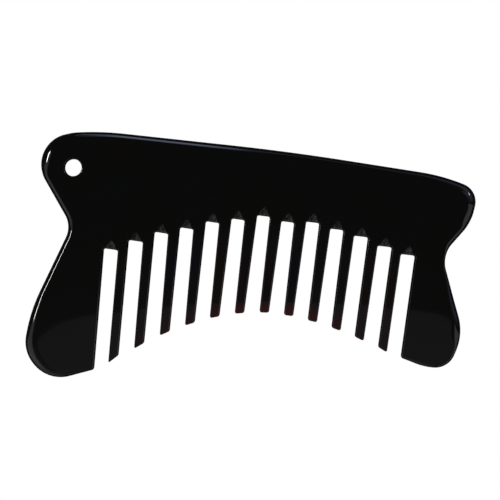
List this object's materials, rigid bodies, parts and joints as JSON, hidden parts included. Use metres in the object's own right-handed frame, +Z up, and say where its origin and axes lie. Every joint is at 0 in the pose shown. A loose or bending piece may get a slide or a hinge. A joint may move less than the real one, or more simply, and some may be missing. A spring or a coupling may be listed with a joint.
{
  "type": "wide-toothed beard comb",
  "caption": "Wide-toothed beard comb in polished black horn, with a curved row of teeth, a broad guard at each end and a hanging hole.",
  "frame": {"origin": "middle of the comb's outline, on the face it lies on", "axes": "+X along the spine, away from the hanging hole; +Y from the tooth tips to the spine; +Z up out of the face"},
  "size_m": [0.127, 0.0731, 0.0044],
  "materials": {
    "horn": "polished black horn, reddish brown where the tooth tips are thin"
  },
  "bodies": {
    "root": {"spine": "horn", "left_guard": "horn", "right_guard": "horn", "tooth_01": "horn", "tooth_02": "horn", "tooth_03": "horn", "tooth_04": "horn", "tooth_05": "horn", "tooth_06": "horn", "tooth_07": "horn", "tooth_08": "horn", "tooth_09": "horn", "tooth_10": "horn", "tooth_11": "horn", "tooth_12": "horn"}
  },
  "joints": []
}
